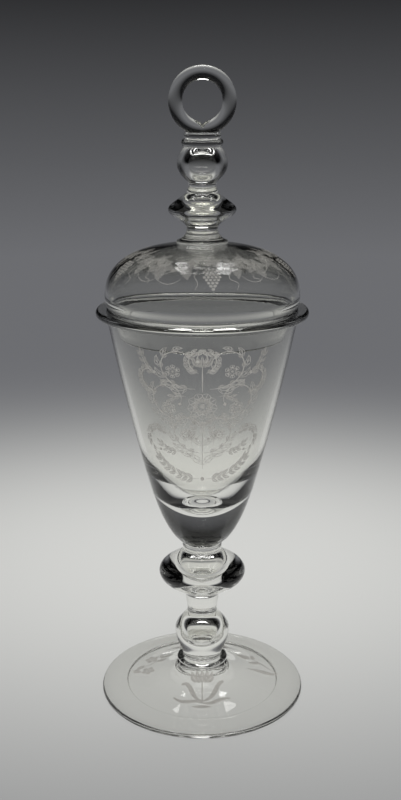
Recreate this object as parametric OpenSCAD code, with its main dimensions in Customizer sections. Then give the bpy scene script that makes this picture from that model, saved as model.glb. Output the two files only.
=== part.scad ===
// Covered glass goblet: a folded foot, a stem of two knops, a funnel bowl with a solid base, and a
// domed cover with a knopped stem that ends in a ring.
// Millimetres, +Z up. The origin is on the axis, in the plane that the foot stands on.
// Each gather of glass is a piece of its own, and pieces meet at flat round welds.

/* [Foot] */
// Overall diameter of the foot
foot_d = 133.6; // [110:0.2:150]
// Height of the foot from the table to its weld
foot_h = 19.5; // [18:0.1:25]
// Height that the foot's straight cone would have at the weld, without its flare
cone_h = 12.3; // [10.5:0.1:15]
// Width of the flare that leads the cone up to the weld
flare_w = 21; // [15:0.5:26]
// Thickness of the rounded rim
foot_rim_t = 3.4; // [2.4:0.1:4.4]
// Width of the band that is folded under at the rim
fold_w = 17.4; // [12:0.2:24]
// Thickness of the band where it is double, measured upright
fold_t = 4.1; // [3.4:0.1:4.8]
// Thickness of the single wall inside the band, measured upright
foot_wall = 2.4; // [1.6:0.1:3.2]
// Width of the flat ring that the foot stands on
rest_w = 3.2; // [2:0.1:6]
// Height of the hollow under the foot, at its middle
foot_hollow = 14.8; // [10:0.1:16]
// Diameter of the ground pontil mark
pontil_d = 16; // [8:0.5:22]
// Depth of the ground pontil mark
pontil_depth = 0.9; // [0.4:0.1:1.4]
// Diameter of the weld between the foot and its merese
foot_weld_d = 29.6; // [24:0.2:31]

/* [Foot merese] */
// Diameter of the merese on the foot
foot_merese_d = 33.2; // [32:0.2:40]
// Height of the merese on the foot
foot_merese_h = 3.8; // [3:0.1:7]

/* [Ball knop] */
// Diameter of the weld under the ball knop
ball_weld_d = 25.8; // [20:0.2:29]
// Diameter of the ball knop
ball_d = 35.6; // [31:0.2:46]
// Height of the ball knop below its widest level
ball_low_h = 18.5; // [14:0.1:24]
// Height of the ball knop above its widest level, up to the neck
ball_high_h = 14.9; // [11:0.1:20]
// Diameter of the neck on top of the ball
neck_d = 19.2; // [15:0.2:21]
// Height of the neck on top of the ball
neck_h = 10.3; // [6:0.1:16]
// Diameter of the air bubble in the ball knop
ball_tear_d = 20; // [12:0.2:22]
// Height of the air bubble in the ball knop
ball_tear_h = 14; // [8:0.2:17]
// How far the middle of that bubble lies below the ball's widest level
ball_tear_drop = 1.8; // [0:0.1:4]

/* [Cushion knop] */
// Diameter of the weld under the cushion knop
cushion_weld_d = 21.6; // [20:0.2:26]
// Diameter of the cushion knop
cushion_d = 56; // [44:0.2:66]
// Height of the cushion knop below its edge
cushion_low_h = 17.3; // [13:0.1:22]
// Height of the cushion knop above its edge
cushion_high_h = 15.7; // [12:0.1:20]
// Diameter of the air bubble in the cushion knop
cushion_tear_d = 30; // [18:0.2:34]
// Height of the air bubble in the cushion knop
cushion_tear_h = 18; // [8:0.2:19]
// How far the middle of that bubble lies above the knop's edge
cushion_tear_rise = 0.7; // [-2:0.1:2]

/* [Bowl merese] */
// Diameter of the welds of the merese under the bowl
bowl_weld_d = 24; // [20:0.2:25]
// Diameter of the merese under the bowl
bowl_merese_d = 25.4; // [25.2:0.1:32]
// Height of the merese under the bowl
bowl_merese_h = 4.5; // [3:0.1:7]

/* [Bowl] */
// Outer diameter of the bowl at its lip
bowl_d = 116.6; // [108:0.2:120]
// Height of the bowl above its merese
bowl_h = 149.5; // [125:0.5:175]
// Diameter of the bowl where its round base runs into the funnel
bowl_base_d = 69.2; // [60:0.2:78]
// Height of the bowl's round base
bowl_base_h = 45.5; // [38:0.5:54]
// Thickness of the solid glass in the bowl's base
bowl_solid = 24.5; // [18:0.5:29]
// Thickness of the bowl's wall at the lip
lip_t = 2; // [1.5:0.1:2.6]
// Thickness of the bowl's wall where it starts to thicken towards the base
bowl_wall = 3.2; // [2.4:0.1:5]

/* [Cover] */
// Gap between the bowl's lip and the cover's flange
cover_gap = 0.3; // [0.2:0.05:0.6]
// How far the cover's flange reaches past the bowl's lip, all round
flange_lap = 6.7; // [4.5:0.1:11]
// Thickness of the cover's flange
flange_t = 4; // [3:0.1:5]
// How far inside the bowl's lip the dome leaves the flange, all round
dome_inset = 1.3; // [0.4:0.1:3]
// Height of the rounded corner between flange and dome
dome_corner_h = 1.2; // [0.8:0.1:2.4]
// How far the dome swells past its own foot, all round
dome_swell = 2.4; // [1.6:0.1:5]
// Height of the dome from its corner to its widest level
dome_low_h = 7.5; // [5:0.1:11]
// Height of the dome above its widest level
dome_high_h = 30; // [22:0.5:40]
// Thickness of the dome's wall
dome_wall = 2.2; // [1.6:0.1:2.8]
// Radial clearance between the bowl's mouth and the top of the cover's bezel
bezel_gap = 1; // [0.6:0.1:1.6]
// Depth of the bezel below the flange
bezel_h = 12.8; // [8:0.1:20]
// Thickness of the bezel's wall
bezel_t = 2.4; // [1.8:0.1:2.8]
// How far the bezel leans inwards from top to bottom
bezel_lean = 4.2; // [2:0.1:6]

/* [Cover merese] */
// Diameter of the weld between the dome and its merese
dome_weld_d = 27; // [22:0.2:29]
// Diameter of the merese on the dome
cover_merese_d = 31.2; // [30:0.2:38]
// Height of the merese's disc
cover_merese_h = 2.6; // [2:0.1:4]
// Height of the spool that the merese is drawn up into
spool_h = 6.9; // [5:0.1:11]
// Diameter of the spool at its top weld
spool_d = 18.8; // [14:0.2:21]

/* [Cover knop] */
// Diameter of the angular knop
cover_knop_d = 40.8; // [32:0.2:48]
// Height of the angular knop below its edge
cover_knop_low_h = 11.3; // [8:0.1:15]
// Height of the angular knop above its edge
cover_knop_high_h = 14.5; // [11:0.1:19]
// Diameter of the air bubble in the angular knop
cover_knop_tear_d = 18; // [8:0.2:20]
// Height of the air bubble in the angular knop
cover_knop_tear_h = 12; // [6:0.2:13]
// How far the middle of that bubble lies above the knop's edge
cover_knop_tear_rise = 1.2; // [0:0.1:2]
// Diameter of the weld between the angular knop and the ball above it
cover_ball_weld_d = 16.1; // [13:0.1:19]

/* [Cover ball] */
// Diameter of the ball under the finial
cover_ball_d = 30.2; // [26:0.2:36]
// Height of that ball below its widest level
cover_ball_low_h = 12; // [9:0.1:16]
// Height of that ball above its widest level
cover_ball_high_h = 9.7; // [8.8:0.1:13]
// Diameter of the air bubble in that ball
cover_tear_d = 16.8; // [8:0.2:18]
// Height of the air bubble in that ball
cover_tear_h = 14.4; // [6:0.2:15]

/* [Finial] */
// Diameter of the weld between the ball and the lower collar
collar_weld_d = 21.8; // [20.6:0.1:23]
// Diameter of the lower collar
low_collar_d = 24.7; // [23.6:0.1:28]
// Height of the lower collar
low_collar_h = 4.9; // [3.6:0.1:7]
// Diameter of the groove between the collars
groove_d = 20.4; // [19.6:0.1:21.4]
// Diameter of the upper collar
high_collar_d = 22.1; // [21.6:0.1:24]
// Height of the upper collar
high_collar_h = 3.4; // [2.6:0.1:5]
// Outer diameter of the ring
ring_d = 40; // [34:0.2:46]
// Diameter of the rod that the ring is bent from
rod_d = 8.4; // [7:0.1:9.4]
// Depth of the flat where the ring is pressed on its collar
ring_flat = 2.2; // [1.4:0.1:2.6]
// Depth of the cleft on the inside of the ring, where the rod's ends meet
cleft_depth = 2.8; // [1.2:0.1:3]
// Width of that cleft at its mouth
cleft_w = 3.6; // [2:0.1:6]

/* [Hidden] */
$fn = 128;
glass = [0.84, 0.88, 0.89, 0.55];

// Straight steps that stand for each curve of a profile
steps = 14;
// Handles of each knop's two S-curves as shares of their heights: first its start, then its end
ball_low_bend = [0.28, 0.45];
ball_high_bend = [0.46, 0.30];
neck_bend = [0.30, 0.40];
cushion_low_bend = [0.28, 0.50];
cushion_high_bend = [0.46, 0.28];
cover_knop_low_bend = [0.40, 0.46];
cover_knop_high_bend = [0.30, 0.50];
cover_ball_low_bend = [0.20, 0.58];
cover_ball_high_bend = [0.70, 0.05];

// Diameters of the cover that follow the bowl's lip
flange_d = bowl_d + 2 * flange_lap;
dome_foot_d = bowl_d - 2 * dome_inset;
dome_d = dome_foot_d + 2 * dome_swell;

// Heights of the welds, from the table up
z_foot = foot_h;
z_foot_merese = z_foot + foot_merese_h;
z_ball_wide = z_foot_merese + ball_low_h;
z_ball_top = z_ball_wide + ball_high_h;
z_neck = z_ball_top + neck_h;
z_cushion_wide = z_neck + cushion_low_h;
z_cushion = z_cushion_wide + cushion_high_h;
z_bowl = z_cushion + bowl_merese_h;
z_lip = z_bowl + bowl_h;
z_flange = z_lip + cover_gap;
z_flange_top = z_flange + flange_t;
z_dome_foot = z_flange_top + dome_corner_h;
z_dome_wide = z_dome_foot + dome_low_h;
z_dome = z_dome_wide + dome_high_h;
z_cover_disc = z_dome + cover_merese_h;
z_cover_merese = z_cover_disc + spool_h;
z_cover_knop_wide = z_cover_merese + cover_knop_low_h;
z_cover_knop = z_cover_knop_wide + cover_knop_high_h;
z_cover_ball_wide = z_cover_knop + cover_ball_low_h;
z_cover_ball = z_cover_ball_wide + cover_ball_high_h;
z_low_collar = z_cover_ball + low_collar_h;
z_high_collar = z_low_collar + high_collar_h;
z_ring = z_high_collar + ring_d / 2 - ring_flat;

// Point on a cubic curve p, from t = 0 at its start to t = 1 at its end
function cubic(p, t) = let (u = 1 - t)
    u * u * u * p[0] + 3 * u * u * t * p[1] + 3 * u * t * t * p[2] + t * t * t * p[3];

// Points along a whole cubic curve p
function along(p) = [for (i = [0 : steps]) cubic(p, i / steps)];

// Points on an arc of an ellipse about c, with half-widths s, from angle a to angle b
function arc(c, s, a, b) =
    [for (i = [0 : steps]) let (w = a + (b - a) * i / steps) c + [s[0] * cos(w), s[1] * sin(w)]];

// S-curve from a to b that starts and ends upright, with the given handles
function swell(a, b, bend) = let (h = b[1] - a[1])
    along([a, a + [0, bend[0] * h], b - [0, bend[1] * h], b]);

// Rounded rim of a collar between two welds, widest at the given share of its height
function roll(low_r, high_r, rim_r, z0, z1, share) = let (z = z0 + share * (z1 - z0)) concat(
    arc([low_r, z], [rim_r - low_r, z - z0], -90, 0),
    arc([high_r, z], [rim_r - high_r, z1 - z], 0, 90)
);

// Outline with each point that repeats the one before it left out
function clean(p) =
    [for (i = [0 : len(p) - 1]) if (norm(p[i] - p[(i + 1) % len(p)]) > 0.001) p[i]];

// Solid of revolution from an outline that starts and ends on the axis
module turned(outline) {
    color(glass) rotate_extrude() polygon(clean(outline));
}

// Solid of revolution between two flat welds, from its outer outline alone
module welded(outer, z0, z1) {
    turned(concat([[0, z0]], outer, [[0, z1]]));
}

// Air bubble on the axis, of the given width and height, about the level z
module tear(d, h, z) {
    rotate_extrude() polygon(arc([0, z], [d / 2, h / 2], -90, 90));
}

// Conical foot with its rim folded under, hollow below, with a ground pontil mark
module foot() {
    rim_r = foot_rim_t / 2;
    rim = [foot_d / 2 - rim_r, rim_r];
    weld = [foot_weld_d / 2, foot_h];
    slope = (cone_h - foot_rim_t) / (rim[0] - weld[0]);
    function top_z(r) = foot_rim_t + slope * (rim[0] - r);
    // Round edge of the glass that is folded under, and the single wall that goes on from it
    edge_r = (fold_t - foot_wall) / 2;
    edge_x = foot_d / 2 - fold_w + edge_r;
    edge = [edge_x, top_z(edge_x) - foot_wall - edge_r];
    under = along([
        [0, foot_hollow],
        [0.3 * edge_x, foot_hollow],
        edge + [-0.55 * edge_x, edge_r + slope * 0.55 * edge_x],
        edge + [0, edge_r]
    ]);
    flare_foot = [weld[0] + flare_w, top_z(weld[0] + flare_w)];
    flare_rise = foot_h - flare_foot[1];
    flare = along([
        flare_foot,
        flare_foot + flare_w / 2 * [-1, slope],
        weld + flare_rise * [0.5, -0.45],
        weld
    ]);
    pontil_r = (pontil_d * pontil_d / 4 + pontil_depth * pontil_depth) / (2 * pontil_depth);
    color(glass) difference() {
        rotate_extrude() polygon(clean(concat(
            under,
            arc(edge, [edge_r, edge_r], 90, 270),
            [[rim[0] - rest_w, 0]],
            arc(rim, [rim_r, rim_r], -90, 90),
            flare,
            [[0, foot_h]]
        )));
        translate([0, 0, foot_hollow + pontil_depth - pontil_r]) sphere(pontil_r);
    }
}

// Disc of glass between foot and stem
module foot_merese() {
    welded(roll(foot_weld_d / 2, ball_weld_d / 2, foot_merese_d / 2, z_foot, z_foot_merese, 0.4),
        z_foot, z_foot_merese);
}

// Ball with an air bubble, drawn up into a neck
module ball_knop() {
    widest = [ball_d / 2, z_ball_wide];
    shoulder = [neck_d / 2, z_ball_top];
    difference() {
        welded(concat(
            swell([ball_weld_d / 2, z_foot_merese], widest, ball_low_bend),
            swell(widest, shoulder, ball_high_bend),
            swell(shoulder, [cushion_weld_d / 2, z_neck], neck_bend)
        ), z_foot_merese, z_neck);
        tear(ball_tear_d, ball_tear_h, z_ball_wide - ball_tear_drop);
    }
}

// Broad knop with an air bubble
module cushion_knop() {
    edge = [cushion_d / 2, z_cushion_wide];
    difference() {
        welded(concat(
            swell([cushion_weld_d / 2, z_neck], edge, cushion_low_bend),
            swell(edge, [bowl_weld_d / 2, z_cushion], cushion_high_bend)
        ), z_neck, z_cushion);
        tear(cushion_tear_d, cushion_tear_h, z_cushion_wide + cushion_tear_rise);
    }
}

// Thin disc of glass between stem and bowl
module bowl_merese() {
    welded(roll(bowl_weld_d / 2, bowl_weld_d / 2, bowl_merese_d / 2, z_cushion, z_bowl, 0.5),
        z_cushion, z_bowl);
}

// Funnel bowl: a round solid base, a wall that thins towards the lip, and a fire-rounded lip
module bowl() {
    weld = [bowl_weld_d / 2, z_bowl];
    base = [bowl_base_d / 2, z_bowl + bowl_base_h];
    lip = [bowl_d / 2, z_lip - lip_t / 2];
    // Rise of the funnel's radius with height, where it leaves the base and at the lip
    base_flare = 0.27;
    lip_flare = 0.19;
    third = (lip[1] - base[1]) / 3;
    base_out = [
        weld,
        weld + [0.46 * (base[0] - weld[0]), 0.13 * bowl_base_h],
        base - 0.43 * bowl_base_h * [base_flare, 1],
        base
    ];
    funnel = [base, base + third * [base_flare, 1], lip - third * [lip_flare, 1], lip];
    // Share of the funnel below which the wall thickens
    heel = 0.2;
    function wall(t) = lip_t + (bowl_wall - lip_t) * (1 - t) / (1 - heel);
    inside = [for (i = [0 : steps]) let (t = 1 - (1 - heel) * i / steps) cubic(funnel, t) - [wall(t), 0]];
    heel_in = inside[steps];
    lean = inside[steps] - inside[steps - 1];
    cavity_z = z_bowl + bowl_solid;
    drop = heel_in[1] - cavity_z;
    cavity = along([
        heel_in,
        heel_in + lean * (0.5 * drop / -lean[1]),
        [0.45 * heel_in[0], cavity_z],
        [0, cavity_z]
    ]);
    turned(concat(
        [[0, z_bowl]],
        along(base_out),
        along(funnel),
        arc(lip - [lip_t / 2, 0], [lip_t / 2, lip_t / 2], 0, 180),
        inside,
        cavity
    ));
}

// Domed cover with a rolled flange, and a bezel that centres it in the bowl's mouth
module cover_dome() {
    flange_r = flange_t / 2;
    flange = [flange_d / 2 - flange_r, z_flange + flange_r];
    weld = [dome_weld_d / 2, z_dome];
    wide = [dome_d / 2, z_dome_wide];
    foot = [dome_foot_d / 2, z_dome_foot];
    bezel_r = bowl_d / 2 - lip_t - bezel_gap;
    tip = [bezel_r - bezel_lean - bezel_t / 2, z_flange - bezel_h + bezel_t / 2];
    // Reach of the dome's two handles, towards the shoulder
    shoulder_up = 0.5;
    shoulder_in = 0.74;
    outside = [
        wide,
        wide + [0, shoulder_up * dome_high_h],
        weld + [shoulder_in * (wide[0] - weld[0]), -0.06 * dome_high_h],
        weld
    ];
    crown = [0, z_dome - 1.25 * dome_wall];
    wide_in = wide - [dome_wall, 0];
    inside = [
        crown,
        crown + [weld[0] + shoulder_in * (wide_in[0] - weld[0]), 0],
        wide_in + [0, shoulder_up * (crown[1] - wide_in[1])],
        wide_in
    ];
    turned(concat(
        along(inside),
        along([wide_in, wide_in - [0, dome_low_h / 2],
            [bezel_r - bezel_t, z_flange_top], [bezel_r - bezel_t, z_flange]]),
        arc(tip, [bezel_t / 2, bezel_t / 2], -180, 0),
        [[bezel_r, z_flange]],
        arc(flange, [flange_r, flange_r], -90, 90),
        arc([foot[0] + dome_corner_h, z_dome_foot], [dome_corner_h, dome_corner_h], -90, -180),
        arc([foot[0], z_dome_wide], [wide[0] - foot[0], dome_low_h], -90, 0),
        along(outside),
        [[0, z_dome]]
    ));
}

// Disc of glass on the dome, drawn up into a waisted spool
module cover_merese() {
    rim = roll(dome_weld_d / 2, 0.94 * cover_merese_d / 2, cover_merese_d / 2, z_dome, z_cover_disc, 0.5);
    ledge = rim[len(rim) - 1];
    top = [spool_d / 2, z_cover_merese];
    welded(concat(rim, along([
        ledge,
        ledge + [0.47 * (top[0] - ledge[0]), 0.12 * spool_h],
        top - [0, 0.55 * spool_h],
        top
    ])), z_dome, z_cover_merese);
}

// Angular knop of the cover's stem, with an air bubble
module cover_knop() {
    edge = [cover_knop_d / 2, z_cover_knop_wide];
    difference() {
        welded(concat(
            swell([spool_d / 2, z_cover_merese], edge, cover_knop_low_bend),
            swell(edge, [cover_ball_weld_d / 2, z_cover_knop], cover_knop_high_bend)
        ), z_cover_merese, z_cover_knop);
        tear(cover_knop_tear_d, cover_knop_tear_h, z_cover_knop_wide + cover_knop_tear_rise);
    }
}

// Small ball with an air bubble
module cover_ball() {
    widest = [cover_ball_d / 2, z_cover_ball_wide];
    difference() {
        welded(concat(
            swell([cover_ball_weld_d / 2, z_cover_knop], widest, cover_ball_low_bend),
            swell(widest, [collar_weld_d / 2, z_cover_ball], cover_ball_high_bend)
        ), z_cover_knop, z_cover_ball);
        tear(cover_tear_d, cover_tear_h, z_cover_ball_wide);
    }
}

// Lower of the two collars under the ring
module finial_collar_lower() {
    welded(roll(collar_weld_d / 2, groove_d / 2, low_collar_d / 2, z_cover_ball, z_low_collar, 0.5),
        z_cover_ball, z_low_collar);
}

// Upper of the two collars, with a flat top for the ring
module finial_collar_upper() {
    welded(roll(groove_d / 2, groove_d / 2, high_collar_d / 2, z_low_collar, z_high_collar, 0.5),
        z_low_collar, z_high_collar);
}

// Rod bent to a ring, pressed flat on its collar, with a cleft where its ends meet
module finial_ring() {
    rod_r = rod_d / 2;
    z_rod = z_ring - ring_d / 2 + rod_r;
    // The cleft is turned about a line below the rod's own, so that it is deep inside the ring only
    cleft_drop = cleft_depth - 0.5;
    cleft_r = rod_r - cleft_depth + cleft_drop;
    reach = ring_d;
    color(glass) difference() {
        translate([0, 0, z_ring]) rotate([90, 0, 0])
            rotate_extrude() translate([ring_d / 2 - rod_r, 0]) circle(rod_r);
        translate([-reach, -reach, z_high_collar - 2 * reach]) cube(2 * reach);
        translate([0, 0, z_rod - cleft_drop]) rotate([0, 90, 0])
            rotate_extrude() polygon([
                [cleft_r, 0],
                [cleft_r + 1.5 * cleft_depth, 0.75 * cleft_w],
                [cleft_r + 1.5 * cleft_depth, -0.75 * cleft_w]
            ]);
    }
}

foot();
foot_merese();
ball_knop();
cushion_knop();
bowl_merese();
bowl();
cover_dome();
cover_merese();
cover_knop();
cover_ball();
finial_collar_lower();
finial_collar_upper();
finial_ring();
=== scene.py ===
# %% [markdown]
# # A covered glass goblet
# The real goblet is blown, tooled and welded from thirteen gathers of clear glass, and then cut on an
# engraver's wheel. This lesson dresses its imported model. The frame gives every piece its size and
# place, and Blender adds what the frame can't hold: smooth turned skins, clear glass and engraving.

# %% Load the frame
import math

import bmesh
import bpy
import numpy as np
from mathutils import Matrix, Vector


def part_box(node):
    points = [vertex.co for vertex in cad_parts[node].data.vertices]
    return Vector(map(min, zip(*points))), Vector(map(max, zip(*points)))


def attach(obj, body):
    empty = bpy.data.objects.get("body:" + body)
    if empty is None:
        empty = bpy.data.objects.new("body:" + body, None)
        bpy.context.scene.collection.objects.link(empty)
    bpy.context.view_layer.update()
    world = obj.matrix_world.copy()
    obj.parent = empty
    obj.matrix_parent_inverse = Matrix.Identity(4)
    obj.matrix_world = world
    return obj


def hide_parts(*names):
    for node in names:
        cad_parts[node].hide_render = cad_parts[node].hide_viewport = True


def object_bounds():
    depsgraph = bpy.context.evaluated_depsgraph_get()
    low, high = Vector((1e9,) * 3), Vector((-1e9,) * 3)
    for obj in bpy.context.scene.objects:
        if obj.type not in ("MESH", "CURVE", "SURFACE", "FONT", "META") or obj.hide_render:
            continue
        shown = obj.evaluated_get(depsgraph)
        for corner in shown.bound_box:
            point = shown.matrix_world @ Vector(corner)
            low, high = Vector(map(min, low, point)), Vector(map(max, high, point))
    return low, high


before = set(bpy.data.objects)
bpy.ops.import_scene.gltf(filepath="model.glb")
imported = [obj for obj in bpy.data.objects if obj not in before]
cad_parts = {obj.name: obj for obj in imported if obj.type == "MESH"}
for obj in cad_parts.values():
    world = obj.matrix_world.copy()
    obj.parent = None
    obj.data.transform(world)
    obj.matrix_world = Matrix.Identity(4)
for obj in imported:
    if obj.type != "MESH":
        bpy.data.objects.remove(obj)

MM = 0.001
cad_low, cad_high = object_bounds()
print("nodes:", ", ".join(sorted(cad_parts)))
print("height in mm:", round((cad_high.z - cad_low.z) / MM, 1))

# %% [markdown]
# ## Outlines from the frame
# Nearly every piece of a goblet is turned: one outline, swept round the axis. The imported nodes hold
# that outline as the edges that lie in the half-plane to the right of the axis. Reading it from there
# keeps each skin exactly on its node.

# %% Read a node's outline
TOUCH = 1e-6


def seam_chains(node):
    """Chains of (radius, height) along a node's edges in the half-plane to the right of the axis."""
    mesh = bmesh.new()
    mesh.from_mesh(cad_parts[node].data)
    bmesh.ops.remove_doubles(mesh, verts=mesh.verts, dist=TOUCH)
    seam = {v for v in mesh.verts if abs(v.co.y) < TOUCH and v.co.x > -TOUCH}
    near = {v: [e.other_vert(v) for e in v.link_edges if e.other_vert(v) in seam] for v in seam}
    chains = []
    while seam:
        ends = [v for v in seam if len(near[v]) == 1]
        chain = [min(ends, key=lambda v: v.co.z)]
        seam.discard(chain[0])
        while step := [v for v in near[chain[-1]] if v in seam]:
            chain.append(step[0])
            seam.discard(step[0])
        chains.append(np.array([(max(v.co.x, 0.0), v.co.z) for v in chain]))
    mesh.free()
    return chains


bowl_outline = max(seam_chains("bowl"), key=len)
print("corners in the bowl's outline:", len(bowl_outline))

# %% [markdown]
# The nodes are made of many short cones, and glass shows every one of them as a band. A finer node
# would only have more bands, so the outline is drawn through its corners again as a smooth curve. Long
# stretches stay straight, and only true corners stay sharp.

# %% Draw a smooth curve through an outline
CORNER = math.radians(25)
STRAIGHT = math.radians(0.05)
LONGER = 3.0
TURN_STEP = math.radians(3)
LONG_STEP = 4 * MM
FINE = 24


def turns(points):
    """Angle that a chain turns through at each inner point."""
    step = np.diff(points, axis=0)
    heading = np.arctan2(step[:, 1], step[:, 0])
    return np.abs((np.diff(heading) + math.pi) % (2 * math.pi) - math.pi)


def headings(step, span, straight):
    """Direction of the curve at each point of a run: along a straight stretch, or else of the arc
    through the point and its two neighbours."""
    way = step / span[:, None]
    inner = []
    for i in range(len(step) - 1):
        blend = way[i] * span[i + 1] + way[i + 1] * span[i]
        if straight[i] != straight[i + 1]:
            blend = way[i] if straight[i] else way[i + 1]
        inner.append(blend / np.linalg.norm(blend))
    if not inner:
        return [way[0], way[0]]
    first = way[0] if straight[0] else 2 * np.dot(way[0], inner[0]) * way[0] - inner[0]
    last = way[-1] if straight[-1] else 2 * np.dot(way[-1], inner[-1]) * way[-1] - inner[-1]
    return [first, *inner, last]


def curved(points):
    """Dense points on a smooth curve through a run of points, whose long stretches stay straight."""
    step = np.diff(points, axis=0)
    span = np.linalg.norm(step, axis=1)
    nearby = np.minimum(np.append(span[1:], np.inf), np.append(np.inf, span[:-1]))
    straight = span > LONGER * nearby
    way = headings(step, span, straight)
    t = np.linspace(0, 1, FINE + 1)[1:, None]
    dense = [points[:1]]
    for i, (a, b) in enumerate(zip(points, points[1:])):
        stretch = a + t * (b - a)
        if not straight[i]:
            lead = (way[i] * span[i] - (b - a)) * t * (1 - t) ** 2
            trail = (way[i + 1] * span[i] - (b - a)) * t**2 * (1 - t)
            stretch = stretch + lead - trail
        dense.append(stretch)
    return np.concatenate(dense)


def thinned(dense):
    """Few of the dense points: one for each small turn or longer stretch, with both ends."""
    kept = [dense[0]]
    turned_by = run = 0.0
    bends = np.append(turns(dense), 0)
    for i in range(1, len(dense) - 1):
        turned_by += bends[i - 1]
        run += np.linalg.norm(dense[i] - dense[i - 1])
        if turned_by > TURN_STEP or run > LONG_STEP:
            kept.append(dense[i])
            turned_by = run = 0.0
    return np.array([*kept, dense[-1]])


def smooth(chain):
    """The chain as a smooth outline, split at its corners and closed on the axis at both ends."""
    keep = np.concatenate([[True], turns(chain) > STRAIGHT, [True]])
    points = chain[keep]
    corners = [0, *(np.nonzero(turns(points) > CORNER)[0] + 1), len(points) - 1]
    runs = [thinned(curved(points[a : b + 1])) for a, b in zip(corners, corners[1:])]
    outline = np.concatenate([runs[0], *(run[1:] for run in runs[1:])])
    low = [] if outline[0, 0] < TOUCH else [(0, outline[0, 1])]
    high = [] if outline[-1, 0] < TOUCH else [(0, outline[-1, 1])]
    return np.array([*low, *outline, *high])


print("points in the bowl's smooth outline:", len(smooth(bowl_outline)))

# %% [markdown]
# ## A small kit for node trees
# Geometry Nodes and shader groups are both built by the same two moves: make a node, then feed its
# inputs with a value or with another node's output. One helper does both, so that a tree in this
# lesson reads as a list of steps. The others stand for nodes that come again and again.

# %% Helpers for node trees
GEOMETRY = "NodeSocketGeometry"
FLOAT = "NodeSocketFloat"
VECTOR = "NodeSocketVector"
MATERIAL = "NodeSocketMaterial"
LEVEL = (1.0, 1.0, 0.0)


def node_tree(name, kind, inputs, outputs):
    """New node tree with named input and output sockets, given as {name: socket type}."""
    tree = bpy.data.node_groups.new(name, kind)
    for in_out, sockets in (("INPUT", inputs), ("OUTPUT", outputs)):
        for label, socket in sockets.items():
            tree.interface.new_socket(label, in_out=in_out, socket_type=socket)
    return tree, tree.nodes.new("NodeGroupInput").outputs, tree.nodes.new("NodeGroupOutput").inputs


def feed(tree, node, feeds):
    """Feeds a node's inputs with values or with the outputs of other nodes."""
    for key, value in feeds.items():
        if isinstance(value, bpy.types.NodeSocket):
            tree.links.new(value, node.inputs[key])
        else:
            node.inputs[key].default_value = value


def put(tree, kind, feeds, out=0, **settings):
    """Adds a node, sets its options, feeds its inputs and returns one of its outputs."""
    node = tree.nodes.new(kind)
    for name, value in settings.items():
        setattr(node, name, value)
    feed(tree, node, feeds)
    return node.outputs[out]


def math_node(tree, operation, *values):
    """Adds a Math node on the given values."""
    return put(tree, "ShaderNodeMath", dict(enumerate(values)), operation=operation)


def vector_node(tree, operation, *values, out=0):
    """Adds a Vector Math node on the given values."""
    return put(tree, "ShaderNodeVectorMath", dict(enumerate(values)), out, operation=operation)


def scaled(tree, vector, by):
    """Adds a node that makes a vector longer or shorter."""
    return put(tree, "ShaderNodeVectorMath", {0: vector, "Scale": by}, operation="SCALE")


def part_of(tree, vector, axis):
    """Adds a node that gives the X, Y or Z of a vector."""
    return put(tree, "ShaderNodeSeparateXYZ", {"Vector": vector}, axis)


def distance_out(tree, place):
    """Adds nodes that give how far a place is from the goblet's axis."""
    return vector_node(tree, "LENGTH", vector_node(tree, "MULTIPLY", place, LEVEL), out="Value")


def ramp(tree, value, start, end, first, last, **settings):
    """Adds a node that goes from a first level to a last one while a value goes from start to end."""
    ranges = {"From Min": start, "From Max": end, "To Min": first, "To Max": last}
    return put(tree, "ShaderNodeMapRange", {"Value": value, **ranges}, **settings)


def noise(tree, place, scale, detail, roughness=0.5):
    """Adds a soft noise."""
    look = {"Scale": scale, "Detail": detail, "Roughness": roughness}
    return put(tree, "ShaderNodeTexNoise", {"Vector": place, **look})


print("helpers for trees:", ", ".join(f.__name__ for f in (put, feed, scaled, part_of, ramp, noise)))

# %% [markdown]
# What a tree or a modifier makes lives only as long as the modifier does. The export wants plain
# meshes, so two more helpers put a mesh into the scene and then turn the result into its own mesh.

# %% Helpers for objects
def linked(name, data):
    """New object in the scene."""
    made = bpy.data.objects.new(name, data)
    bpy.context.scene.collection.objects.link(made)
    return made


def settle(piece):
    """Turns what a piece's modifiers make into its plain mesh."""
    plain = bpy.data.meshes.new_from_object(piece.evaluated_get(bpy.context.evaluated_depsgraph_get()))
    piece.modifiers.clear()
    piece.data = plain
    plain.name = piece.name


def grown(name, mesh, tree, values):
    """Object with the plain mesh that a tree makes from a starting mesh."""
    made = linked(name, mesh)
    modifier = made.modifiers.new(tree.name, "NODES")
    modifier.node_group = tree
    for socket in tree.interface.items_tree:
        if socket.in_out == "INPUT" and socket.name in values:
            modifier[socket.identifier] = values[socket.name]
    settle(made)
    return made


print("helpers for objects:", ", ".join(f.__name__ for f in (linked, settle, grown)))

# %% [markdown]
# ## Clear glass
# Old soda glass is clear with a faint grey cast, and it was shaped hot, so its skin is never quite
# even: broad ripples from blowing, and fine rings where a tool bore on the turning piece. A tool works
# near the axis, so the rings die out further off. Both are heights in one shader group, and each glass
# mixes them in its own measure. They could be modelled, but they only tilt the surface by a fraction of
# a degree, and a bump does that with no more faces.

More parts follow.
